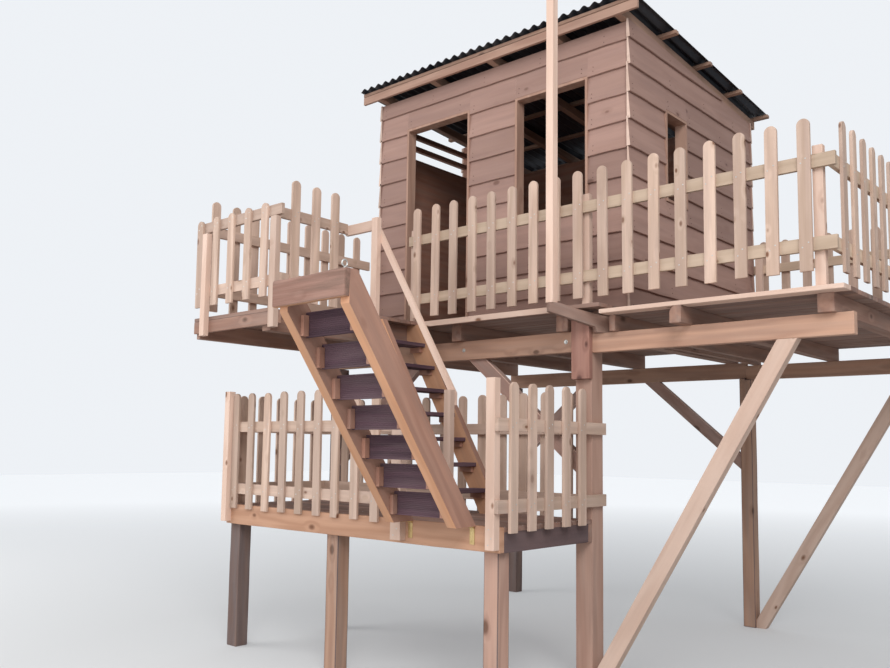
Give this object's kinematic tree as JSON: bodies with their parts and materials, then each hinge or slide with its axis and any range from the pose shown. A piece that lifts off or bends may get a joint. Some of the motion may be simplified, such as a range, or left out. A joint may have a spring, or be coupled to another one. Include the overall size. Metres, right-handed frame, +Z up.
{
  "type": "tree house",
  "caption": "Timber tree house on posts: lap-boarded cabin and balcony on a fenced deck, lower landing, steep stair, and a hinged flight held raised at the landing",
  "frame": {"origin": "the middle of the main post's foot, on the ground", "axes": "+X right along the front of the deck, +Y back from the front towards the cabin, +Z up"},
  "size_m": [4.55, 5.0533, 5.05],
  "materials": {
    "post_timber": "matte",
    "beam_timber": "matte",
    "new_timber": "matte",
    "deck_boards": "matte",
    "picket_timber": "matte",
    "orange_timber": "matte",
    "tread_composite": "matte",
    "wall_timber": "matte",
    "lapped_boards": "matte",
    "trim_timber": "matte",
    "roof_metal": "satin",
    "brass": "satin",
    "steel": "satin"
  },
  "bodies": {
    "house": {"main_post": "post_timber", "main_post_cover": "post_timber", "posts": "post_timber", "beams": "beam_timber", "edge_board": "beam_timber", "deck_joists": "beam_timber", "landing_joists": "beam_timber", "landing_beam": "beam_timber", "braces": "new_timber", "mast": "new_timber", "handrail": "new_timber", "newels": "new_timber", "stair_head_rail": "new_timber", "deck_main": "deck_boards", "deck_right": "deck_boards", "deck_balcony": "deck_boards", "stair_head": "deck_boards", "landing_deck": "deck_boards", "front_fence": "picket_timber", "right_fence": "picket_timber", "rear_fence": "picket_timber", "balcony_front_fence": "picket_timber", "balcony_side_fence": "picket_timber", "balcony_left_fence": "picket_timber", "landing_front_fence": "picket_timber", "landing_right_fence": "picket_timber", "landing_left_fence": "picket_timber", "landing_rear_fence": "picket_timber", "fence_posts": "picket_timber", "landing_fascia": "orange_timber", "stair_stringers": "orange_timber", "stair_cleats": "orange_timber", "stair_treads": "tread_composite", "front_wall_piers": "wall_timber", "front_wall_panels": "wall_timber", "right_wall_piers": "wall_timber", "right_wall_panels": "wall_timber", "rear_wall": "wall_timber", "left_wall": "wall_timber", "left_wall_uppers": "wall_timber", "left_wall_rails": "wall_timber", "rafters": "wall_timber", "roof_battens": "wall_timber", "front_cladding": "lapped_boards", "rear_cladding": "lapped_boards", "right_cladding": "lapped_boards", "left_cladding": "lapped_boards", "door_frame": "trim_timber", "window_frame": "trim_timber", "side_window_frame": "trim_timber", "eave_lath": "trim_timber", "roof_sheet": "roof_metal", "hinge_fixed_leaves": "brass"},
    "flight": {"flight_stringers": "orange_timber", "flight_treads": "tread_composite", "flight_cleats": "orange_timber", "flight_header": "orange_timber", "hinge_moving_leaves": "brass", "eye_bolt": "steel"}
  },
  "joints": [
    {"name": "flight_hinge", "type": "hinge", "parent": "house", "child": "flight", "pos_m": [-0.4025, -1.087, 1.0925], "axis": [1, 0, 0], "range_deg": [0, 89.02]}
  ]
}
